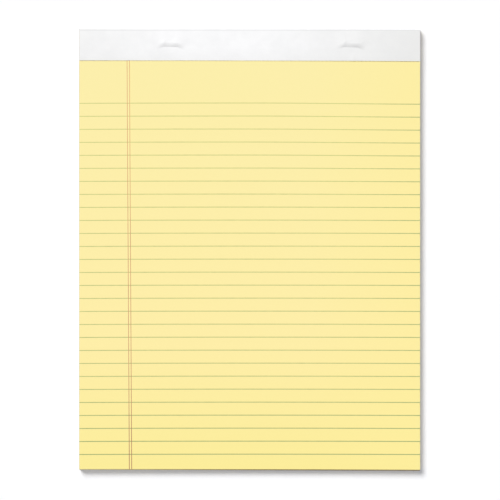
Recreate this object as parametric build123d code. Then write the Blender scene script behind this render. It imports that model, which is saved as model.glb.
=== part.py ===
from build123d import *
import os

# A letter-size legal pad, in millimetres: ruled sheets on a chipboard back, stapled together and bound
# by a strip of paper folded over the top edge. X runs across the page, +Y towards the bound edge and
# +Z out of the page. The origin is the middle of the underside.

# Sheets, and a backing board that reaches a little past their foot
pad_width = 215.9
pad_length = 279.4
sheet_count = 50
sheet_thickness = 0.095
board_thickness = 0.7
board_overhang = 0.4

# Binding strip, folded over the top edge
strip_thickness = 0.12
front_flap = 20.0
back_flap = 22.0
fold_radius = 0.6

# Wire staples, crowns on the front and feet clinched flush into the back of the board
staple_spacing = 114.3
staple_offset = 7.3
staple_width = 12.7
staple_foot = 4.0
wire_width = 0.65
wire_thickness = 0.45
wire_bend = 0.3
crown_sink = 0.1
bump_spread = 2.0

# Tear-off slits just below the binding strip
slit_gap = 0.3
slit_pitch = 2.5
slit_length = 1.8
slit_width = 0.15

# Printed writing lines, from edge to edge of the top sheet
ink_thickness = 0.02
rule_width = 0.4
rule_pitch = 8.24
first_rule = 47.1
foot_blank = 6.0

# Printed pair of margin lines, a little askew on the sheet (degrees)
margin_width = 0.4
margin_from_side = 30.95
margin_spacing = 1.5
margin_skew = 0.32

# Heights above the surface that the pad lies on
board_bottom = strip_thickness
block_bottom = board_bottom + board_thickness
block_top = block_bottom + sheet_count * sheet_thickness
crown_proud = wire_thickness - crown_sink

# Places along the page, and the rounding that the folds press into sheets and board
top_edge = pad_length / 2
foot_edge = -pad_length / 2
sheet_foot = foot_edge + board_overhang
bound_edge = top_edge - strip_thickness
flap_edge = top_edge - front_flap
staple_line = top_edge - front_flap / 2
slit_line = flap_edge - slit_gap
edge_round = min(fold_radius - strip_thickness, 0.9 * board_thickness)

on_base = (Align.CENTER, Align.CENTER, Align.MIN)
from_foot = (Align.CENTER, Align.MIN, Align.MIN)
staple_places = [staple_offset - staple_spacing / 2, staple_offset + staple_spacing / 2]


def layer(low, high, foot):
    """A layer of the pad between two heights, from its foot up to the inside of the fold."""
    return Pos(0, foot, low) * Box(pad_width, bound_edge - foot, high - low, align=from_foot)


def bound_edges(part):
    """The edges across the pad at its bound end, lowest first."""
    return part.edges().filter_by(Axis.X).group_by(Axis.Y)[-1].sort_by(Axis.Z)


def staple(across):
    """Flat wire bent to a crown, two legs and two feet that turn in under the board."""
    half = (staple_width - wire_thickness) / 2
    crown = block_top + crown_proud - wire_thickness / 2
    foot = board_bottom + wire_thickness / 2
    tip = half - staple_foot
    bends = [(-tip, foot), (-half, foot), (-half, crown), (half, crown), (half, foot), (tip, foot)]
    wire = trace(FilletPolyline(*bends, radius=wire_bend + wire_thickness / 2), wire_thickness)
    return Pos(across, staple_line) * extrude(Plane.XZ * wire, wire_width / 2, both=True)


def tent(across, base):
    """The form of paper lifted by a crown: sloping sides round a flat top as large as the crown."""
    rim = Rectangle(staple_width + 2 * bump_spread, wire_width + 2 * bump_spread)
    top = Rectangle(staple_width, wire_width)
    centre = Pos(across, staple_line, base)
    return loft([centre * rim, centre * Pos(0, 0, crown_proud) * top], ruled=True)


def folded_strip():
    """One strip of paper round the top edge, raised over each staple's crown."""
    front = block_top + strip_thickness / 2
    back = strip_thickness / 2
    spine = top_edge - strip_thickness / 2
    corners = [(flap_edge, front), (spine, front), (spine, back), (top_edge - back_flap, back)]
    section = trace(FilletPolyline(*corners, radius=edge_round + strip_thickness / 2), strip_thickness)
    strip = extrude(Plane.YZ * section, pad_width / 2, both=True)
    raised = strip + [tent(across, block_top + strip_thickness) for across in staple_places]
    return raised - [tent(across, block_top) for across in staple_places]


def tear_slits():
    """A row of short cuts across the pad, through every sheet and the ink on it."""
    depth = block_top + ink_thickness - block_bottom
    row = GridLocations(slit_pitch, slit_pitch, int(pad_width / slit_pitch), 1)
    cut = Pos(0, slit_line, block_bottom) * Box(slit_length, slit_width, depth, align=on_base)
    return [place * cut for place in row]


def writing_lines():
    """Evenly spaced lines down the page, as many as leave the foot blank."""
    count = int((pad_length - first_rule - foot_blank) / rule_pitch) + 1
    line = Box(pad_width, rule_width, ink_thickness, align=on_base)
    return Part() + [Pos(0, top_edge - first_rule - row * rule_pitch, block_top) * line for row in range(count)]


def margin_pair():
    """Two parallel lines from the binding strip to the foot of the page."""
    open_page = Pos(0, sheet_foot, block_top) * Box(
        pad_width, flap_edge - sheet_foot, ink_thickness, align=from_foot
    )
    line = Rot(0, 0, margin_skew) * Box(margin_width, 2 * pad_length, ink_thickness, align=on_base)
    first = margin_from_side - pad_width / 2
    pair = Part() + [Pos(first + margin_spacing * step, 0, block_top) * line for step in range(2)]
    return pair & open_page


staples = Part() + [staple(across) for across in staple_places]
slits = tear_slits()
sheets = layer(block_bottom, block_top, sheet_foot)
board = layer(board_bottom, block_bottom, foot_edge)
ruled_lines = writing_lines()

nodes = {
    "backing_board": fillet(bound_edges(board)[0], edge_round) - staples,
    "sheet_block": fillet(bound_edges(sheets)[-1], edge_round) - staples - slits,
    "binding_strip": folded_strip(),
    "staples": staples,
    "ruled_lines": ruled_lines,
    "margin_lines": margin_pair() - ruled_lines - slits,
}

os.makedirs("parts", exist_ok=True)
for name, shape in nodes.items():
    export_step(shape, f"parts/{name}.step")
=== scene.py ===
import math

import bmesh
import bpy
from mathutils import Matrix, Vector, noise


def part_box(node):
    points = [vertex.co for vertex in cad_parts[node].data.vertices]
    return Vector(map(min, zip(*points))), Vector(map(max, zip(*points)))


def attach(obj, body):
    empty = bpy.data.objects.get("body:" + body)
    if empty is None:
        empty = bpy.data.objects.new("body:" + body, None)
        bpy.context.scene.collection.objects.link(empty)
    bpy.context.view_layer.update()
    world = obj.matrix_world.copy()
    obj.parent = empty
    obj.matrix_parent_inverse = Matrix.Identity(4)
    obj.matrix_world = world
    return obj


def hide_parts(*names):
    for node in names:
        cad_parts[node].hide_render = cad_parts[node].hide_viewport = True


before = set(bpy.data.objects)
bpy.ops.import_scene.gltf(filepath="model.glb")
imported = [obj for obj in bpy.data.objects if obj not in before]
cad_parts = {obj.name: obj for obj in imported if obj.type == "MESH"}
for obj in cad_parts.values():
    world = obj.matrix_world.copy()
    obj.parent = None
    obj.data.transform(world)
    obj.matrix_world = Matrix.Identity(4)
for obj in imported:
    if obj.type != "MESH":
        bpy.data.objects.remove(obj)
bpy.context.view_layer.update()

# Backing board: a stiff sheet of grey-brown chipboard under the writing sheets, pressed from waste pulp
# and trimmed with them in one stroke, a little out of square and long towards one corner of the foot.
# The staples' feet are clinched flush into its back.

millimetre = 0.001
out_of_square = 0.45 * millimetre
overhang_left, overhang_right = 0.15 * millimetre, 0.42 * millimetre
cut_zone = 1 * millimetre
merge_distance = 0.001 * millimetre
pulp_size, fibre_size, fleck_size = 6 * millimetre, 0.5 * millimetre, 0.8 * millimetre
fibre_relief = 0.05 * millimetre
board_low, board_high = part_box("backing_board")


def seen(red, green, blue):
    """A colour as it looks on the page, 0 to 255, as the light values that a shader takes."""
    shares = (red / 255, green / 255, blue / 255)
    return [s / 12.92 if s <= 0.04045 else ((s + 0.055) / 1.055) ** 2.4 for s in shares] + [1.0]


def add_node(tree, kind, inputs=None, **settings):
    """A node with its settings, its inputs given as values or as other nodes' outputs."""
    made = tree.nodes.new(kind)
    for name, value in settings.items():
        setattr(made, name, value)
    for key, value in (inputs or {}).items():
        if isinstance(value, bpy.types.NodeSocket):
            tree.links.new(value, made.inputs[key])
        else:
            made.inputs[key].default_value = value
    return made


def matte_finish(name, specular):
    """A rough material with its shader and the piece's own coordinates, ready for its pattern."""
    material = bpy.data.materials.new(name)
    material.use_nodes = True
    tree = material.node_tree
    shader = tree.nodes["Principled BSDF"]
    shader.inputs["Specular IOR Level"].default_value = specular
    place = add_node(tree, "ShaderNodeTexCoord").outputs["Object"]
    return material, tree, shader, place


def grain(tree, place, size, detail=4.0, roughness=0.6, stretch=(1, 1, 1)):
    """Cloudy grain with features of about that size in metres, from 0 to 1."""
    stretched = add_node(tree, "ShaderNodeMapping", {"Vector": place, "Scale": stretch}).outputs["Vector"]
    inputs = {"Vector": stretched, "Scale": 1 / size, "Detail": detail, "Roughness": roughness}
    return add_node(tree, "ShaderNodeTexNoise", inputs).outputs["Fac"]


def ranged(tree, value, low, high, to_low, to_high, interpolation="LINEAR"):
    """A value carried from one range to another and held at its ends."""
    inputs = {"Value": value, "From Min": low, "From Max": high, "To Min": to_low, "To Max": to_high}
    return add_node(tree, "ShaderNodeMapRange", inputs, interpolation_type=interpolation).outputs["Result"]


def blended(tree, share, first, second):
    """Two colours mixed by a share from 0 to 1."""
    mix = add_node(tree, "ShaderNodeMix", {"Factor": share}, data_type="RGBA")
    for socket, value in ((mix.inputs[6], first), (mix.inputs[7], second)):
        if isinstance(value, bpy.types.NodeSocket):
            tree.links.new(value, socket)
        else:
            socket.default_value = value
    return mix.outputs[2]


def reckoned(tree, operation, first, second, clamp=False):
    """Two values added, multiplied or otherwise reckoned together."""
    made = add_node(tree, "ShaderNodeMath", {0: first, 1: second}, operation=operation, use_clamp=clamp)
    return made.outputs[0]


def relief(tree, shader, height, depth, strength):
    """Fine surface relief of that depth in metres, from a height of 0 to 1."""
    bump = add_node(tree, "ShaderNodeBump", {"Height": height, "Distance": depth, "Strength": strength})
    tree.links.new(bump.outputs["Normal"], shader.inputs["Normal"])


def chipboard_finish():
    """Grey-brown pulp with long fibres, dark and pale flecks, and a soft uneven surface."""
    pulp_dark, pulp_pale, fibre_pale = seen(136, 113, 82), seen(176, 151, 116), seen(195, 174, 142)
    fleck_dark, fleck_pale = seen(84, 68, 50), seen(212, 197, 170)
    material, tree, shader, place = matte_finish("chipboard", specular=0.25)
    pulp = grain(tree, place, pulp_size, detail=8, roughness=0.7)
    fibres = grain(tree, place, fibre_size, detail=5, stretch=(0.25, 1, 1))
    flecks = grain(tree, place, fleck_size, detail=2, roughness=0.4)
    base = blended(tree, pulp, pulp_dark, pulp_pale)
    streaked = blended(tree, ranged(tree, fibres, 0.35, 0.7, 0, 0.5), base, fibre_pale)
    dark = blended(tree, ranged(tree, flecks, 0.68, 0.74, 0, 0.6), streaked, fleck_dark)
    pale = blended(tree, ranged(tree, flecks, 0.32, 0.27, 0, 0.6), dark, fleck_pale)
    tree.links.new(pale, shader.inputs["Base Color"])
    tree.links.new(ranged(tree, pulp, 0, 1, 0.82, 0.97), shader.inputs["Roughness"])
    relief(tree, shader, fibres, fibre_relief, strength=0.5)
    return material


def rightward(x):
    """How far across the pad a place is, from 0 at its left side to 1 at its right."""
    return (x - board_low.x) / (board_high.x - board_low.x)


def slant(x):
    """How much lower the head and the foot of the pad are cut at a place across it."""
    return out_of_square * rightward(x) ** 3


def drawn_board():
    """The board's own solid as one joined mesh, with its head and foot where the knife left them."""
    joined = bmesh.new()
    joined.from_mesh(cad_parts["backing_board"].data)
    bmesh.ops.remove_doubles(joined, verts=joined.verts, dist=merge_distance)
    for vertex in joined.verts:
        x, y = vertex.co.xy
        if y > board_high.y - cut_zone:
            vertex.co.y -= slant(x)
        if y < board_low.y + cut_zone:
            vertex.co.y -= slant(x) + overhang_left + (overhang_right - overhang_left) * rightward(x)
    mesh = bpy.data.meshes.new("backing_board_chipboard")
    joined.to_mesh(mesh)
    joined.free()
    mesh.materials.clear()
    mesh.materials.append(chipboard_finish())
    mesh.shade_flat()
    return mesh


backing_board = bpy.data.objects.new("backing_board_chipboard", drawn_board())
bpy.context.scene.collection.objects.link(backing_board)
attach(backing_board, "root")
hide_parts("backing_board")

# Sheets: canary-yellow writing paper in a squared-up block, each sheet cut through by a row of
# tear-off slits below the binding strip. The guillotine's stroke leaves the lower sheets, and each
# sheet's left side, a little longer at the foot. The ruled lines' ink shows as ticks on the cut sides.

block_low, block_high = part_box("sheet_block")
ruling_low, ruling_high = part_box("ruled_lines")
margin_low, margin_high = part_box("margin_lines")
flap_edge = margin_high.y
sheet_count = 50
sheet_pitch = (block_high.z - block_low.z) / sheet_count
sheet_thickness = 0.93 * sheet_pitch
sheet_scatter = 0.03 * millimetre
sheet_turn = 0.00012
slit_gap = 0.3 * millimetre
slit_pitch = 2.5 * millimetre
slit_length = 1.8 * millimetre
slit_width = 0.13 * millimetre
fold_rounding = 0.48 * millimetre
flap_left, flap_right = 0.1 * millimetre, 0.22 * millimetre
knife_draw = 0.13 * millimetre
rule_count = 28
rule_width = 0.4 * millimetre
rule_pitch = (ruling_high.y - ruling_low.y - rule_width) / (rule_count - 1)
lift_left, lift_right = 0.12 * millimetre, 0.22 * millimetre
lift_length = 60 * millimetre
lift_start, lift_width = 40 * millimetre, 68 * millimetre

paper_head = seen(252, 239, 172)
paper_middle = seen(254, 238, 168)
paper_foot = seen(252, 237, 154)
paper_right = seen(254, 238, 158)
left_edge_tone, cloud_tint = seen(212, 196, 146), seen(246, 226, 140)
cut_shade, pressed_shade, tick_green = seen(222, 199, 120), seen(206, 182, 104), seen(118, 158, 112)
tick_strength = 0.4
warm_to = -60 * millimetre
left_edge_band = 0.45 * millimetre
cloud_size, streak_size = 1.2 * millimetre, 0.9 * millimetre
paper_grain, paper_relief = 0.25 * millimetre, 0.012 * millimetre
cut_grain, cut_relief = 0.3 * millimetre, 0.02 * millimetre


def paper_colour(tree, place):
    """Canary yellow that warms towards the foot and the right-hand side, faintly clouded by its fibres.
    The upper sheets are a little darker and greyer along their left-hand edge."""
    sides = add_node(tree, "ShaderNodeSeparateXYZ", {"Vector": place}).outputs
    foot = ranged(tree, sides["Y"], block_low.y, warm_to, 0, 1)
    head = ranged(tree, sides["Y"], warm_to, block_high.y, 0, 1)
    warm = blended(tree, foot, paper_foot, paper_middle)
    level = blended(tree, head, warm, paper_head)
    right = ranged(tree, sides["X"], 0.35 * block_high.x, block_high.x, 0, 0.5)
    page = blended(tree, right, level, paper_right)
    near_top_share = ranged(tree, sides["Z"], block_high.z - left_edge_band, block_high.z, 0, 0.85)
    left_edge_share = ranged(tree, sides["X"], block_low.x, block_low.x + left_edge_band, near_top_share, 0)
    left_edge_toned = blended(tree, left_edge_share, page, left_edge_tone)
    clouds = grain(tree, place, cloud_size, detail=6, roughness=0.7)
    return blended(tree, ranged(tree, clouds, 0.3, 0.7, 0, 0.05), left_edge_toned, cloud_tint), clouds


def canary_finish():
    """Uncoated writing paper: even colour, a faint fibre relief and almost no gloss."""
    material, tree, shader, place = matte_finish("canary paper", specular=0.15)
    colour, clouds = paper_colour(tree, place)
    tree.links.new(colour, shader.inputs["Base Color"])
    tree.links.new(ranged(tree, clouds, 0.2, 0.8, 0.8, 0.95), shader.inputs["Roughness"])
    relief(tree, shader, grain(tree, place, paper_grain), paper_relief, strength=0.35)
    return material


def ticks(tree, value, first, pitch, width):
    """1 on narrow bands that repeat along a coordinate, 0 between them."""
    nearest = reckoned(tree, "PINGPONG", reckoned(tree, "SUBTRACT", value, first), pitch)
    return ranged(tree, nearest, 0.5 * width, 0.9 * width, 1, 0)


def cut_edge_finish():
    """The cut edges: each sheet a shade apart, in streaks where some lie closer than others, with the
    ends of the printed lines as faint ticks."""
    material, tree, shader, place = matte_finish("cut paper edge", specular=0.1)
    colour, clouds = paper_colour(tree, place)
    tone = add_node(tree, "ShaderNodeAttribute", attribute_name="sheet_tone").outputs["Fac"]
    shaded = blended(tree, ranged(tree, tone, 0, 1, 0.02, 0.3), colour, cut_shade)
    pressed = grain(tree, place, streak_size, detail=3, stretch=(0.02, 0.02, 1))
    streaked = blended(tree, ranged(tree, pressed, 0.4, 0.62, 0, 0.45), shaded, pressed_shade)
    along = add_node(tree, "ShaderNodeSeparateXYZ", {"Vector": place}).outputs["Y"]
    first = ruling_low.y + rule_width / 2
    green = ticks(tree, along, first, rule_pitch / 2, rule_width)
    on_page = ranged(tree, along, ruling_high.y, ruling_high.y + rule_width, 1, 0)
    faint = reckoned(tree, "MULTIPLY", reckoned(tree, "MULTIPLY", green, on_page), tick_strength)
    inked = blended(tree, faint, streaked, tick_green)
    tree.links.new(inked, shader.inputs["Base Color"])
    tree.links.new(ranged(tree, clouds, 0.2, 0.8, 0.85, 1), shader.inputs["Roughness"])
    relief(tree, shader, grain(tree, place, cut_grain, stretch=(1, 1, 4)), cut_relief, strength=0.4)
    return material


def tree_with(name, inputs):
    """A geometry tree with named inputs for its sizes, and the node that gives them out."""
    tree = bpy.data.node_groups.new(name, "GeometryNodeTree")
    tree.interface.new_socket("Mesh", in_out="OUTPUT", socket_type="NodeSocketGeometry")
    for label, kind in inputs.items():
        tree.interface.new_socket(label, in_out="INPUT", socket_type="NodeSocket" + kind)
    return tree, add_node(tree, "NodeGroupInput").outputs


def ends_in(tree, mesh):
    """Closes a tree with the mesh that it gives."""
    tree.links.new(mesh, add_node(tree, "NodeGroupOutput").inputs["Mesh"])


def grown(name, tree, sizes):
    """A piece with the plain mesh that a tree makes at these sizes."""
    piece = bpy.data.objects.new(name, bpy.data.meshes.new(name))
    bpy.context.scene.collection.objects.link(piece)
    modifier = piece.modifiers.new("growth", "NODES")
    modifier.node_group = tree
    for item in tree.interface.items_tree:
        if item.in_out == "INPUT":
            modifier[item.identifier] = sizes[item.name]
    made = piece.evaluated_get(bpy.context.evaluated_depsgraph_get())
    mesh = bpy.data.meshes.new_from_object(made)
    piece.modifiers.remove(modifier)
    piece.data = mesh
    mesh.name = name
    return piece


def slit_sheets_tree():
    """Sheets of one size laid on each other with a little scatter, each cut by a row of slits."""
    tree, given = tree_with("slit sheets", {
        "Sheet": "Vector", "Columns": "Int", "Rows": "Int", "Lowest": "Vector", "Count": "Int",
        "Pitch": "Vector", "Scatter": "Vector", "Turn": "Vector", "Seed": "Int",
        "Slit": "Vector", "First Slit": "Vector", "Slit Pitch": "Vector", "Slits": "Int",
        "Paper": "Material", "Cut Edge": "Material",
    })
    sheet = add_node(tree, "GeometryNodeMeshCube", {
        "Size": given["Sheet"], "Vertices X": given["Columns"], "Vertices Y": given["Rows"],
    }).outputs["Mesh"]
    slit = add_node(tree, "GeometryNodeMeshCube", {"Size": given["Slit"]}).outputs["Mesh"]
    row = add_node(tree, "GeometryNodeMeshLine", {
        "Count": given["Slits"], "Start Location": given["First Slit"], "Offset": given["Slit Pitch"],
    }).outputs["Mesh"]
    knives = add_node(tree, "GeometryNodeInstanceOnPoints", {"Points": row, "Instance": slit})
    blades = add_node(tree, "GeometryNodeRealizeInstances", {"Geometry": knives.outputs[0]}).outputs[0]
    cut = add_node(tree, "GeometryNodeMeshBoolean", {"Mesh 1": sheet, "Mesh 2": blades},
                   operation="DIFFERENCE", solver="EXACT").outputs["Mesh"]
    pile = add_node(tree, "GeometryNodeMeshLine", {
        "Count": given["Count"], "Start Location": given["Lowest"], "Offset": given["Pitch"],
    }).outputs["Mesh"]

    def either_way(amount):
        back = add_node(tree, "ShaderNodeVectorMath", {0: amount, "Scale": -1.0}, operation="SCALE")
        return add_node(tree, "FunctionNodeRandomValue", {
            "Min": back.outputs[0], "Max": amount, "Seed": given["Seed"],
        }, data_type="FLOAT_VECTOR").outputs["Value"]

    spread = add_node(tree, "GeometryNodeSetPosition", {
        "Geometry": pile, "Offset": either_way(given["Scatter"]),
    }).outputs[0]
    laid = add_node(tree, "GeometryNodeInstanceOnPoints", {
        "Points": spread, "Instance": cut, "Rotation": either_way(given["Turn"]),
    }).outputs[0]
    tone = add_node(tree, "FunctionNodeRandomValue", {"Seed": given["Seed"]}, data_type="FLOAT")
    toned = add_node(tree, "GeometryNodeStoreNamedAttribute", {
        "Geometry": laid, "Name": "sheet_tone", "Value": tone.outputs[1],
    }, data_type="FLOAT", domain="INSTANCE").outputs[0]
    block = add_node(tree, "GeometryNodeRealizeInstances", {"Geometry": toned}).outputs[0]
    paper = add_node(tree, "GeometryNodeSetMaterial", {"Geometry": block, "Material": given["Paper"]})
    facing = add_node(tree, "ShaderNodeSeparateXYZ", {
        0: add_node(tree, "GeometryNodeInputNormal").outputs[0],
    }).outputs["Z"]
    upright = add_node(tree, "FunctionNodeCompare", {0: facing, 1: 0.0, "Epsilon": 0.5},
                       data_type="FLOAT", operation="EQUAL").outputs[0]
    ends_in(tree, add_node(tree, "GeometryNodeSetMaterial", {
        "Geometry": paper.outputs[0], "Selection": upright, "Material": given["Cut Edge"],
    }).outputs[0])
    return tree


def held(value):
    """A share held between 0 and 1."""
    return min(max(value, 0.0), 1.0)


def eased(value):
    """A share held between 0 and 1 and eased towards both ends."""
    share = held(value)
    return share * share * (3 - 2 * share)


def page_lift(x, y):
    """How far the top sheet stands off the block: nothing but a slight lift at the foot's corners."""
    foot = eased(1 - (y - block_low.y) / lift_length)
    side = eased((abs(x) - lift_start) / lift_width)
    return (lift_right if x > 0 else lift_left) * foot * side


def trimmed(piece, lift):
    """Sheets drawn out by the knife at the foot and tucked under the fold at the bound edge."""
    depth = block_high.z - block_low.z
    for vertex in piece.data.vertices:
        x, y, z = vertex.co
        if y < block_low.y + cut_zone:
            vertex.co.y -= knife_draw * (1 - rightward(x) + (block_high.z - z) / depth)
        over = z - (block_high.z - fold_rounding)
        if y > block_high.y - cut_zone and over > 0:
            vertex.co.y -= fold_rounding - math.sqrt(max(fold_rounding ** 2 - over ** 2, 0.0))
        vertex.co.y -= slant(x)
        if lift:
            vertex.co.z += page_lift(x, y)


def spread_map(piece):
    """A map for the sheets' colours that gives each cut side of the block a band of its own, as long as
    the side, and lays all the faces hidden between the sheets over each other in two narrow bands."""
    left_band, right_band, foot_band, head_band = 0.01, 0.23, 0.45, 0.67
    flat_band, slit_band = 0.89, 0.95
    side_height, flat_height, slit_height, rim = 0.2, 0.05, 0.02, 0.005
    squarely, mostly = 0.7, 0.5
    mesh = piece.data
    places = mesh.uv_layers.new(name="OFBake").data
    size = block_high - block_low
    for face in mesh.polygons:
        middle, facing = face.center, face.normal
        at_side = abs(facing.x) > squarely and abs(middle.x) > block_high.x - cut_zone
        at_end = abs(facing.y) > squarely and abs(middle.y - page_middle) > size.y / 2 - 2 * cut_zone
        for corner in face.loop_indices:
            place = mesh.vertices[mesh.loops[corner].vertex_index].co - block_low
            across, along, up = place.x / size.x, place.y / size.y, place.z / size.z
            in_sheet = place.z / sheet_pitch % 1
            if at_side:
                spot = along, (left_band if middle.x < 0 else right_band) + side_height * up
            elif at_end:
                spot = across, (foot_band if middle.y < page_middle else head_band) + side_height * up
            elif abs(facing.z) > mostly:
                spot = across, flat_band + flat_height * along
            else:
                spot = across, slit_band + slit_height * along + slit_height * in_sheet
            places[corner].uv = [rim + (1 - 2 * rim) * held(share) for share in spot]


sheets_tree = slit_sheets_tree()
slit_count = int((block_high.x - block_low.x) / slit_pitch)
page_middle = (block_low.y + block_high.y) / 2
sheet_sizes = {
    "Sheet": (block_high.x - block_low.x, block_high.y - block_low.y, sheet_thickness),
    "Pitch": (0, 0, sheet_pitch),
    "Seed": 7,
    "Slit": (slit_length, slit_width, 3 * sheet_thickness),
    "First Slit": (-(slit_count - 1) / 2 * slit_pitch, flap_edge - flap_left - slit_gap - page_middle, 0),
    "Slit Pitch": (slit_pitch, (flap_left - flap_right) / slit_count, 0),
    "Slits": slit_count,
    "Paper": canary_finish(),
    "Cut Edge": cut_edge_finish(),
}
under_sheets = grown("under_sheets", sheets_tree, sheet_sizes | {
    "Columns": 12, "Rows": 2, "Count": sheet_count - 1,
    "Lowest": (0, page_middle, block_low.z + sheet_pitch / 2),
    "Scatter": (sheet_scatter, sheet_scatter, 0), "Turn": (0, 0, sheet_turn),
})
trimmed(under_sheets, lift=False)
spread_map(under_sheets)
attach(under_sheets, "root")
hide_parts("sheet_block")

# Top sheet: the same paper, the one that is written on. It lies on the block under its own weight
# and is held by the staples and the binding strip, so only the corners of its foot stand off a little.

top_sheet = grown("top_sheet", sheets_tree, sheet_sizes | {
    "Columns": 37, "Rows": 57, "Count": 1,
    "Lowest": (0, page_middle, block_high.z - sheet_thickness / 2),
    "Scatter": (0, 0, 0), "Turn": (0, 0, 0),
})
trimmed(top_sheet, lift=True)
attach(top_sheet, "root")
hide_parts("sheet_block")

# Writing lines: thin green lines printed across the whole sheet before it was cut, a little stronger
# towards the foot and the right-hand side. The printed web bows by less than a millimetre.

ink_film = 0.02 * millimetre
ink_soak = 0.006 * millimetre
edge_sink = 1.07 * (ink_film - ink_soak)
print_width = 2 * rule_width
ruling_pale, ruling_strong = seen(201, 205, 129), seen(106, 147, 100)
ink_rise, foot_rise = 0.62, 0.4
foot_reach = 50 * millimetre
blotch_size, blotch_share = 1.5 * millimetre, 0.15
rule_bow, lower_lift = 0.22 * millimetre, 0.3
corner_sag = 0.55 * millimetre


def printed_finish(name, pale, strong, right_head, right_foot, stretch):
    """Ink that has soaked into the paper and feathers out at the line's edges, uneven along the line and
    stronger down the page. At the right-hand side it gains one share at the head of the page and another
    at the foot."""
    material, tree, shader, place = matte_finish(name, specular=0.15)
    sides = add_node(tree, "ShaderNodeSeparateXYZ", {"Vector": place}).outputs
    down = ranged(tree, sides["Y"], ruling_high.y, ruling_low.y, 0, ink_rise)
    foot = ranged(tree, sides["Y"], ruling_low.y + foot_reach, ruling_low.y, 0, foot_rise)
    right = ranged(tree, sides["X"], 0.6 * block_high.x, block_high.x, 0, 1)
    gain = reckoned(tree, "MULTIPLY", right, ranged(tree, down, 0, ink_rise, right_head, right_foot))
    blotches = grain(tree, place, blotch_size, detail=5, stretch=stretch)
    uneven = ranged(tree, blotches, 0.3, 0.7, -blotch_share, blotch_share)
    level = reckoned(tree, "ADD", reckoned(tree, "ADD", down, foot), gain)
    strength = reckoned(tree, "ADD", level, uneven, clamp=True)
    depth = add_node(tree, "ShaderNodeAttribute", attribute_name="ink_depth").outputs["Fac"]
    soaked = ranged(tree, depth, 0, 1, 0, 1, "SMOOTHSTEP")
    ink = blended(tree, strength, pale, strong)
    tree.links.new(blended(tree, soaked, paper_colour(tree, place)[0], ink), shader.inputs["Base Color"])
    dryness = ranged(tree, uneven, -blotch_share, blotch_share, 0.75, 0.9)
    tree.links.new(dryness, shader.inputs["Roughness"])
    relief(tree, shader, grain(tree, place, paper_grain), paper_relief, strength=0.35)
    return material


def ruling_tree():
    """Flat strips of ink repeated down the page, each deepest along its middle."""
    tree, given = tree_with("ruling", {
        "Line": "Vector", "Columns": "Int", "Lowest": "Vector", "Pitch": "Vector", "Count": "Int",
        "Ink": "Material",
    })
    strip = add_node(tree, "GeometryNodeMeshCube", {
        "Size": given["Line"], "Vertices X": given["Columns"], "Vertices Y": 3,
    }).outputs["Mesh"]
    place = add_node(tree, "GeometryNodeInputPosition").outputs[0]
    off_middle = add_node(tree, "ShaderNodeSeparateXYZ", {0: place}).outputs["Y"]
    width = add_node(tree, "ShaderNodeSeparateXYZ", {0: given["Line"]}).outputs["Y"]
    share = reckoned(tree, "DIVIDE", reckoned(tree, "ABSOLUTE", off_middle, 0.0), width)
    line = add_node(tree, "GeometryNodeStoreNamedAttribute", {
        "Geometry": strip, "Name": "ink_depth",
        "Value": reckoned(tree, "SUBTRACT", 1.0, reckoned(tree, "MULTIPLY", share, 2.0)),
    }, data_type="FLOAT", domain="POINT").outputs[0]
    rows = add_node(tree, "GeometryNodeMeshLine", {
        "Count": given["Count"], "Start Location": given["Lowest"], "Offset": given["Pitch"],
    }).outputs["Mesh"]
    printed = add_node(tree, "GeometryNodeInstanceOnPoints", {"Points": rows, "Instance": line})
    page = add_node(tree, "GeometryNodeRealizeInstances", {"Geometry": printed.outputs[0]}).outputs[0]
    ends_in(tree, add_node(tree, "GeometryNodeSetMaterial", {
        "Geometry": page, "Material": given["Ink"],
    }).outputs[0])
    return tree


ruled_lines = grown("ruled_lines_print", ruling_tree(), {
    "Line": (ruling_high.x - ruling_low.x, print_width, ink_film), "Columns": 73,
    "Lowest": (0, ruling_low.y + rule_width / 2, block_high.z + ink_film / 2 - ink_soak),
    "Pitch": (0, rule_pitch, 0), "Count": rule_count,
    "Ink": printed_finish("green ruling ink", ruling_pale, ruling_strong,
                          right_head=0.7, right_foot=0.05, stretch=(0.4, 1, 1)),
})
ink_depths = ruled_lines.data.attributes["ink_depth"].data
for vertex, depth in zip(ruled_lines.data.vertices, ink_depths):
    x, y = vertex.co.xy
    across = x / block_high.x
    upper, lower = eased(y / ruling_high.y), eased(y / ruling_low.y)
    vertex.co.z += page_lift(x, y) - edge_sink * (1 - depth.value)
    vertex.co.y -= rule_bow * (across ** 2 - lower_lift * lower) + corner_sag * upper * eased(across)
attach(ruled_lines, "root")
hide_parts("ruled_lines")

# Margin lines: a close pair of red lines from the binding strip to the foot, printed in a second
# pass over the writing lines and so a little askew to them.

margin_width = 0.4 * millimetre
margin_spacing = 1.5 * millimetre
margin_drift = margin_high.x - margin_low.x - margin_spacing - margin_width
margin_points = 96
margin_film = 0.03 * millimetre
margin_pale, margin_strong = seen(228, 178, 126), seen(168, 104, 92)


def ink_strip(points, width, low, high):
    """A flat closed strip of ink along points in the plane, as vertices and faces."""
    vertices = []
    for x, y in points:
        lift = page_lift(x, y)
        for side, level in ((-0.5, low), (0.5, low), (0.5, high), (-0.5, high)):
            vertices.append((x + side * width, y, level + lift))
    faces = [(3, 2, 1, 0), tuple(len(vertices) - 4 + k for k in range(4))]
    for step in range(len(points) - 1):
        for side in range(4):
            a, b = 4 * step + side, 4 * step + (side + 1) % 4
            faces.append((a, b, b + 4, a + 4))
    return vertices, faces


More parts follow.
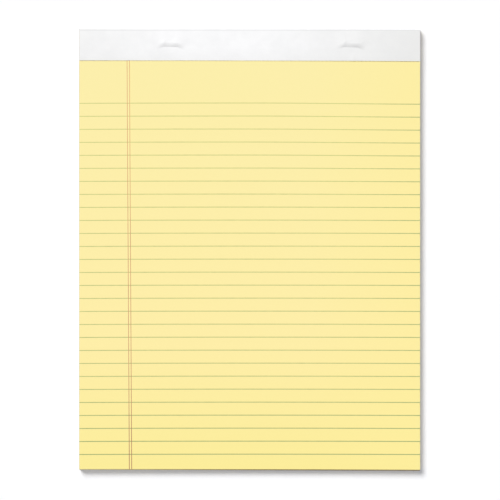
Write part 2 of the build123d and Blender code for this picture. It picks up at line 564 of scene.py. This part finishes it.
margin_vertices, margin_faces = [], []
for line in range(2):
    start = margin_low.x + margin_width / 2 + line * margin_spacing
    shares = [step / (margin_points - 1) for step in range(margin_points)]
    route = [(start + margin_drift * s, margin_high.y + (margin_low.y - margin_high.y) * s) for s in shares]
    vertices, faces = ink_strip(route, margin_width, block_high.z - ink_soak, block_high.z + margin_film)
    margin_faces += [tuple(i + len(margin_vertices) for i in face) for face in faces]
    margin_vertices += vertices
margin_mesh = bpy.data.meshes.new("margin_lines_print")
margin_mesh.from_pydata(margin_vertices, [], margin_faces)
margin_depth = margin_mesh.attributes.new("ink_depth", "FLOAT", "POINT")
margin_depth.data.foreach_set("value", [1.0] * len(margin_vertices))
margin_ink = printed_finish("red margin ink", margin_pale, margin_strong,
                            right_head=0, right_foot=0, stretch=(1, 0.15, 1))
margin_mesh.materials.append(margin_ink)
margin_lines = bpy.data.objects.new("margin_lines_print", margin_mesh)
bpy.context.scene.collection.objects.link(margin_lines)
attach(margin_lines, "root")
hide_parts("margin_lines")

# Staples: two bent from flat galvanised wire, driven through the sheets and the board and clinched
# behind. The binding strip covers them back and front.

bloom_dark, bloom_pale = seen(168, 170, 174), seen(206, 207, 208)
draw_size, bloom_size = 0.1 * millimetre, 2 * millimetre
draw_relief = 0.01 * millimetre


def wire_finish():
    """Drawn galvanised wire, with fine lines along it and a dull patchy bloom."""
    material, tree, shader, place = matte_finish("staple wire", specular=0.5)
    drawn = grain(tree, place, draw_size, stretch=(0.05, 1, 1))
    bloom = grain(tree, place, bloom_size)
    tree.links.new(blended(tree, bloom, bloom_dark, bloom_pale), shader.inputs["Base Color"])
    tree.links.new(ranged(tree, bloom, 0.3, 0.7, 0.28, 0.5), shader.inputs["Roughness"])
    shader.inputs["Metallic"].default_value = 1.0
    relief(tree, shader, drawn, draw_relief, strength=0.4)
    return material


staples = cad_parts["staples"]
staples.data.materials.clear()
staples.data.materials.append(wire_finish())

# Binding strip: one strip of white paper, creased twice, wrapped round the bound edge and glued to the
# top sheet in front and to the board behind. The staples' crowns push it up in two small ridges, and
# their feet show through it behind.

strip_low, strip_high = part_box("binding_strip")
strip_thickness = 0.12 * millimetre
strip_left, strip_middle, strip_right = seen(245, 245, 245), seen(251, 251, 252), seen(235, 235, 234)
# painted shade for the flap, and grey for the strip's left end
strip_cloud, flap_painted_shade, end_grey = seen(224, 224, 226), seen(222, 222, 220), seen(198, 198, 199)
# painted shade for the fold, and grey for the ridges' painted shade and the feet's rub marks
fold_painted_shade, ridge_shade_and_rub_grey = seen(216, 216, 217), seen(202, 202, 203)
strip_cloud_size, strip_grain = 9 * millimetre, 0.4 * millimetre
shade_far, shade_near = 8 * millimetre, 1.5 * millimetre
fold_shade_start, fold_shade_full = 1.6 * millimetre, 1.1 * millimetre
fold_shade_fade, fold_shade_end = 0.6 * millimetre, 0.2 * millimetre
fold_shade_depth, fold_shade_strength = 0.6 * millimetre, 0.36
staple_low, staple_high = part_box("staples")
staple_width = 12.7 * millimetre
staple_foot = 4.0 * millimetre
wire_width = staple_high.y - staple_low.y
staple_centres = (staple_low.x + staple_width / 2, staple_high.x - staple_width / 2)
staple_line = (staple_low.y + staple_high.y) / 2
crown_height = staple_high.z - block_high.z
fold_outer = fold_rounding + strip_thickness
crest_half, crest_shift = 0.37 * staple_width, 0.35 * millimetre
crest_tilt, crest_droop = 0.03, 0.35
crest_rise, pucker_rise = 1.2 * millimetre, 0.5 * millimetre
pucker_place, pucker_spread = -4.1 * millimetre, 0.75 * millimetre
pucker_lift, pucker_reach = 0.3, 0.35
right_start, right_length, right_lift = -1.5 * millimetre, 5 * millimetre, 0.2
tent_length, shoulder_length = 8.5 * millimetre, 1.5 * millimetre
crest_taper, fold_taper = 5.5 * millimetre, 8 * millimetre
crumple_size = 2.6 * millimetre
crumple_lift, crumple_depth = 0.1 * millimetre, 0.05 * millimetre
foot_sink, foot_rub = 0.06 * millimetre, 0.8
flap_lift, flap_free_length = 0.25 * millimetre, 6 * millimetre
flap_pucker_place, flap_pucker_spread = 1.0 * millimetre, 1.6 * millimetre
ripple_size, ripple_height, ripple_fade = 16 * millimetre, 0.035 * millimetre, 4 * millimetre
sharp_angle = math.radians(50)


def strip_finish():
    """Smooth white paper, a little greyer at its ends, clouded and with faint relief. Painted shade darkens
    it along the flap, along the front of its fold and below the staples' ridges, and the staples' feet rub
    it grey behind."""
    material, tree, shader, place = matte_finish("white strip paper", specular=0.2)
    sides = add_node(tree, "ShaderNodeSeparateXYZ", {"Vector": place}).outputs
    across, along = sides["X"], sides["Y"]
    inward = ranged(tree, across, block_low.x, -0.4 * block_high.x, 0, 1)
    onward = ranged(tree, across, 0.1 * block_high.x, block_high.x, 0, 1)
    tone = blended(tree, onward, blended(tree, inward, strip_left, strip_middle), strip_right)
    clouds = grain(tree, place, strip_cloud_size, detail=5)
    clouded = blended(tree, ranged(tree, clouds, 0.35, 0.65, 0, 0.16), tone, strip_cloud)
    # painted shade on the flap, deepening towards its free edge
    flap_shade_share = ranged(tree, along, flap_edge + shade_far, flap_edge + shade_near, 0, 0.2)
    shaded = blended(tree, flap_shade_share, clouded, flap_painted_shade)
    left_edge_share = ranged(tree, across, block_low.x, block_low.x + left_edge_band, 0.8, 0)
    left_edge_toned = blended(tree, left_edge_share, shaded, end_grey)
    # painted shade along the front of the fold, where it turns over towards the spine
    past_page = ranged(tree, along, strip_high.y - fold_shade_start, strip_high.y - fold_shade_full, 0, 1)
    short_of_spine = ranged(tree, along, strip_high.y - fold_shade_fade, strip_high.y - fold_shade_end, 1, 0)
    in_front = ranged(tree, sides["Z"], block_high.z - fold_shade_depth, block_high.z, 0, fold_shade_strength)
    painted_shade_and_rub = reckoned(tree, "MULTIPLY", reckoned(tree, "MULTIPLY", past_page, short_of_spine), in_front)
    fold_shaded = blended(tree, painted_shade_and_rub, left_edge_toned, fold_painted_shade)
    # painted shade below the ridges in front, grey rub marks over the staples' feet behind
    ridge_shade_and_foot_rub = add_node(tree, "ShaderNodeAttribute", attribute_name="ridge_shade_and_foot_rub").outputs["Fac"]
    marked = blended(tree, ranged(tree, ridge_shade_and_foot_rub, 0, 1, 0, 0.3), fold_shaded, ridge_shade_and_rub_grey)
    tree.links.new(marked, shader.inputs["Base Color"])
    tree.links.new(ranged(tree, clouds, 0.3, 0.7, 0.68, 0.82), shader.inputs["Roughness"])
    relief(tree, shader, grain(tree, place, strip_grain), paper_relief, strength=0.3)
    return material


def ridge(x, y):
    """Paper lifted over a staple's crown, and how much painted shade it gets: a low tent that runs
    down to the fold above, and below it a shoulder, darkened with painted shade, that ends in a crease and
    fades out past the crown's ends."""
    height, painted_shade_and_rub = 0.0, 0.0
    for centre in staple_centres:
        aside = x - centre
        beside = max(abs(aside + crest_shift) - crest_half + crest_shift, 0.0)
        pucker = math.exp(-((aside - pucker_place) / pucker_spread) ** 2)
        rightmost = eased((aside - right_start) / right_length)
        rise = crest_rise + pucker_rise * pucker
        crest = staple_line + rise - crest_tilt * aside - crest_droop * beside
        above = held((y - crest) / tent_length)
        below = held((crest - y) / (shoulder_length + rise))
        taper = eased(1 - beside / (crest_taper + fold_taper * above))
        lift = 1 + pucker_lift * pucker * eased(1 - above / pucker_reach) + right_lift * rightmost
        fall = taper * (1 - below ** 2) + (1 - taper) * eased(1 - below)
        height = max(height, lift * taper * (1 - above) * fall)
        # painted shade on the shoulder below the crest, heavier at the pucker and towards the right-hand
        # end
        if 0 < below < 1:
            ridge_shade_weight = 0.55 + 0.3 * pucker + 0.45 * rightmost
            painted_shade_and_rub = max(painted_shade_and_rub, taper * (0.4 + 0.6 * below) * ridge_shade_weight)
    crumple = noise.noise(Vector((x, 1.5 * y, 0)) / crumple_size)
    return (crown_height + crumple_lift + crumple_depth * crumple) * height, painted_shade_and_rub


def foot_mark(x, y):
    """How far the back flap has sunk into the board's clinched hollow beside a staple's foot, and how far
    the foot has rubbed it grey."""
    sunk, painted_shade_and_rub = 0.0, 0.0
    for centre in staple_centres:
        from_middle = abs(abs(x - centre) - (staple_width - staple_foot) / 2)
        past_end = max(from_middle - (staple_foot - wire_width) / 2, 0.0)
        away = math.hypot(past_end, y - staple_line)
        on_wire = eased((0.8 * wire_width - away) / (0.5 * wire_width))
        hollow = eased((2.4 * wire_width - away) / (1.6 * wire_width))
        sunk = max(sunk, hollow - on_wire)
        painted_shade_and_rub = max(painted_shade_and_rub, on_wire)
    return foot_sink * sunk, foot_rub * painted_shade_and_rub


def flap_gap(x, y):
    """The flap's free edge stands off the sheet a little, most at its right half and its left end, and is
    puckered below the right-hand staple."""
    across = x / block_high.x
    left_end = eased(-(across + 0.7) / 0.3)
    right_half = eased((across - 0.1) / 0.5)
    pucker = math.exp(-((x - staple_centres[1] - flap_pucker_place) / flap_pucker_spread) ** 2)
    free = 0.15 + 0.5 * left_end + 0.45 * right_half + 0.6 * pucker
    return flap_lift * free * eased(1 - (y - flap_edge) / flap_free_length)


def ripple(x, y):
    """Slight waves that glue and handling leave in thin paper, gone towards the fold."""
    wave = noise.noise(Vector((x, 1.6 * y, 0)) / ripple_size)
    return ripple_height * (wave + 0.4) * eased((strip_high.y - y) / ripple_fade)


def spaced(start, end, step):
    """Places from start to end, no further apart than the step, without the end."""
    count = max(1, math.ceil(abs(end - start) / step))
    return [start + (end - start) * k / count for k in range(count)]


def strip_columns():
    """Places across the strip, close together over the staples."""
    plain_step, close_step = 2.4 * millimetre, 0.45 * millimetre
    reach = staple_width / 2 + 4 * millimetre
    places, reached = [], block_low.x
    for centre in staple_centres:
        places += spaced(reached, centre - reach, plain_step)
        places += spaced(centre - reach, centre + reach, close_step)
        reached = centre + reach
    return places + spaced(reached, block_high.x, plain_step) + [block_high.x]


def strip_section():
    """Points round the outside of the fold, from the front flap's edge to the back flap's edge, each
    with its outward direction and the part of the strip that it lies on."""
    front_step, crest_step, spine_step = 0.6 * millimetre, 0.16 * millimetre, 0.7 * millimetre
    back_step, foot_step = 3 * millimetre, 0.2 * millimetre
    crest_low, crest_high = staple_line - 2 * millimetre, staple_line + 4 * millimetre
    foot_low, foot_high = staple_line - 1.8 * millimetre, staple_line + 1.8 * millimetre
    front, back = block_high.z + strip_thickness, strip_low.z
    spine = strip_high.y
    upper, lower = front - fold_outer, back + fold_outer

    def crease(height, first):
        """A quarter turn about a line at that height, from the first angle in degrees."""
        turned = []
        for angle in range(0, 91, 10):
            out_y, out_z = math.cos(math.radians(first - angle)), math.sin(math.radians(first - angle))
            place = spine - fold_outer + fold_outer * out_y, height + fold_outer * out_z
            turned.append((place, (out_y, out_z), "fold"))
        return turned

    level = spaced(flap_edge, crest_low, front_step) + spaced(crest_low, crest_high, crest_step)
    level += spaced(crest_high, spine - fold_outer, front_step)
    behind = spaced(spine - fold_outer, foot_high, back_step)[1:] + spaced(foot_high, foot_low, foot_step)
    behind += spaced(foot_low, strip_low.y, back_step) + [strip_low.y]
    section = [((y, front), (0, 1), "front") for y in level] + crease(upper, 90)
    section += [((spine, z), (1, 0), "fold") for z in spaced(upper, lower, spine_step)[1:]]
    return section + crease(lower, 0) + [((y, back), (0, -1), "back") for y in behind]


def strip_mesh():
    """The folded strip as one closed skin: outside, inside, two long edges and two ends. Its faces start
    from another corner past each staple, so that they split along the slopes of the ridge."""
    columns, section = strip_columns(), strip_section()
    vertices, ridge_shades_and_foot_rubs = [], []
    for inside in (False, True):
        for x in columns:
            for (y, z), (out_y, out_z), part in section:
                if inside:
                    y, z = y - out_y * strip_thickness, z - out_z * strip_thickness
                ridge_shade_and_foot_rub = 0.0
                if part == "back":
                    sunk, ridge_shade_and_foot_rub = foot_mark(x, y)
                    z += sunk
                if part == "front":
                    lift, ridge_shade_and_foot_rub = ridge(x, y)
                    z += lift + flap_gap(x, y) + ripple(x, y)
                    longer = flap_left + (flap_right - flap_left) * rightward(x)
                    y -= longer * (strip_high.y - y) / (strip_high.y - flap_edge)
                vertices.append((x, y - slant(x), z))
                ridge_shades_and_foot_rubs.append(ridge_shade_and_foot_rub)
    rows, skin = len(section), len(section) * len(columns)
    faces = []
    for column in range(len(columns) - 1):
        beside = min((columns[column] - centre for centre in staple_centres), key=abs)
        turn = 1 if beside > 0 else 0
        for row in range(rows - 1):
            a = column * rows + row
            outer = (a, a + rows, a + rows + 1, a + 1)
            inner = (skin + a + 1, skin + a + rows + 1, skin + a + rows, skin + a)
            faces += [outer[turn:] + outer[:turn], inner[turn:] + inner[:turn]]
        for row in (0, rows - 1):
            a = column * rows + row
            rim = (a, skin + a, skin + a + rows, a + rows)
            faces.append(rim if row == 0 else rim[::-1])
    for column in (0, len(columns) - 1):
        for row in range(rows - 1):
            a = column * rows + row
            end = (a, a + 1, skin + a + 1, skin + a)
            faces.append(end if column == 0 else end[::-1])
    mesh = bpy.data.meshes.new("binding_strip_paper")
    mesh.from_pydata(vertices, [], faces)
    mesh.attributes.new("ridge_shade_and_foot_rub", "FLOAT", "POINT").data.foreach_set("value", ridge_shades_and_foot_rubs)
    mesh.materials.append(strip_finish())
    mesh.shade_smooth()
    mesh.set_sharp_from_angle(angle=sharp_angle)
    return mesh


binding_strip = bpy.data.objects.new("binding_strip_paper", strip_mesh())
bpy.context.scene.collection.objects.link(binding_strip)
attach(binding_strip, "root")
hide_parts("binding_strip")

# Studio: a white table under broad soft light from the upper left, and a camera straight above the pad
# with a long lens, so that the page fills the frame squarely.

key_light, top_light, room_light = 0.615, 0.255, 0.13
key_direction, key_softness = (-0.49, 0.72, 1.0), 29
top_direction, top_softness = (0.0, 0.0, 1.0), 14
table_white, table_bounce, table_glow = 0.975, 0.65, (0.03, 0.035, 0.065)
table_half = 12.0
frame_width = 316.7 * millimetre
frame_centre = (0.2 * millimetre, -0.51 * millimetre)
lens_length, film_width = 300, 36
sight_length = 100


def soft_sun(name, direction, softness, level):
    """Even light from one direction, at a level where white paper facing up shows that share."""
    lamp = bpy.data.lights.new(name, "SUN")
    aim = Vector(direction).normalized()
    lamp.energy = level * math.pi / aim.z
    lamp.angle = math.radians(softness)
    holder = bpy.data.objects.new(name, lamp)
    holder.rotation_euler = aim.to_track_quat("Z", "Y").to_euler()
    holder.location = aim
    bpy.context.scene.collection.objects.link(holder)


def shown_to_eye(tree):
    """1 for what the eye sees directly or in a reflection, 0 for light on its way round the room."""
    path = add_node(tree, "ShaderNodeLightPath").outputs
    seen_share = path["Is Camera Ray"]
    for kind in ("Is Glossy Ray", "Is Transmission Ray"):
        seen_share = reckoned(tree, "MAXIMUM", seen_share, path[kind])
    return seen_share


def table_finish():
    """A plain white table that keeps the pad's shadow."""
    material = bpy.data.materials.new("white table")
    material.use_nodes = True
    tree = material.node_tree
    tree.nodes.remove(tree.nodes["Principled BSDF"])
    grey = add_node(tree, "ShaderNodeBsdfDiffuse", {"Color": (table_bounce,) * 3 + (1,)}).outputs[0]
    white = add_node(tree, "ShaderNodeBsdfDiffuse", {"Color": (table_white,) * 3 + (1,)}).outputs[0]
    glow = add_node(tree, "ShaderNodeEmission", {"Color": (*table_glow, 1)}).outputs[0]
    lit = add_node(tree, "ShaderNodeAddShader", {0: white, 1: glow}).outputs[0]
    both = add_node(tree, "ShaderNodeMixShader", {0: shown_to_eye(tree), 1: grey, 2: lit}).outputs[0]
    tree.links.new(both, tree.nodes["Material Output"].inputs["Surface"])
    return material


table_mesh = bpy.data.meshes.new("table")
table_mesh.from_pydata([(-table_half, -table_half, 0), (table_half, -table_half, 0),
                        (table_half, table_half, 0), (-table_half, table_half, 0)], [], [(0, 1, 2, 3)])
table_mesh.materials.append(table_finish())
table = bpy.data.objects.new("table", table_mesh)
bpy.context.scene.collection.objects.link(table)

soft_sun("key light", key_direction, key_softness, key_light)
soft_sun("top light", top_direction, top_softness, top_light)
room = bpy.data.worlds.new("room")
room.use_nodes = True
bpy.context.scene.world = room
room_tree = room.node_tree
backdrop = room_tree.nodes["Background"].inputs
room_share = ranged(room_tree, shown_to_eye(room_tree), 0, 1, room_light, 1.0)
room_tree.links.new(room_share, backdrop["Strength"])
backdrop["Color"].default_value = (1, 1, 1, 1)

camera_data = bpy.data.cameras.new("camera")
camera_data.lens = lens_length
camera_data.sensor_width = film_width
camera_data.clip_end = sight_length
camera = bpy.data.objects.new("camera", camera_data)
camera.location = (*frame_centre, block_high.z + frame_width * lens_length / film_width)
bpy.context.scene.collection.objects.link(camera)
bpy.context.scene.camera = camera
bpy.context.scene.view_settings.view_transform = "Standard"
